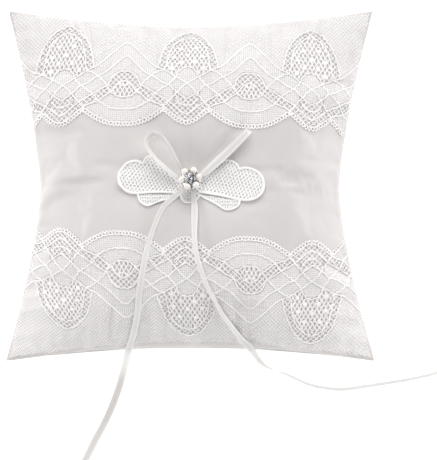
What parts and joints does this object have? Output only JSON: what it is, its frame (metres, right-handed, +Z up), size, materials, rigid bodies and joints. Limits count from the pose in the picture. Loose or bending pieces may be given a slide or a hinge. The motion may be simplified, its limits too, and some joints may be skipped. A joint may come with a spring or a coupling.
{
  "type": "ring bearer pillow",
  "caption": "Square tufted satin cushion with scalloped lace bands, a winged lace applique, a ribbon bow with long tails and a pearl brooch on a thread shank.",
  "frame": {"origin": "under the middle of the pillow, on the surface that it lies on", "axes": "+X to the right across the lace bands, +Y towards the upper lace band, +Z up out of the front"},
  "size_m": [0.2561, 0.2608, 0.07],
  "materials": {
    "front_satin": "white satin, soft sheen",
    "back_satin": "white satin, soft sheen",
    "filling": "polyester fibre",
    "sewing_thread": "white polyester thread",
    "upper_lace": "white corded lace",
    "lower_lace": "white corded lace",
    "applique_lace": "white guipure lace",
    "ribbon": "white satin ribbon",
    "brooch_metal": "silver plate",
    "crystal": "clear faceted",
    "pearl": "pearl lustre"
  },
  "bodies": {
    "pillow": {"front_panel": "front_satin", "back_panel": "back_satin", "fibre_filling": "filling", "seam_thread": "sewing_thread", "upper_lace_band": "upper_lace", "lower_lace_band": "lower_lace", "lace_applique": "applique_lace", "bow_loop_left": "ribbon", "bow_loop_right": "ribbon", "bow_knot": "ribbon", "ribbon_tail_left": "ribbon", "ribbon_tail_right": "ribbon", "tufting_thread": "sewing_thread", "back_knot": "sewing_thread"},
    "brooch": {"brooch_base": "brooch_metal", "crystal_setting": "brooch_metal", "crystal": "crystal", "pearl_1": "pearl", "pearl_2": "pearl", "pearl_3": "pearl", "pearl_4": "pearl", "pearl_5": "pearl", "pearl_6": "pearl", "brooch_shank": "brooch_metal"}
  },
  "joints": [
    {"name": "brooch_swivel", "type": "hinge", "parent": "pillow", "child": "brooch", "pos_m": [0, 0, 0.05955], "axis": [0, 0, 1], "range_deg": [-20, 20]}
  ]
}
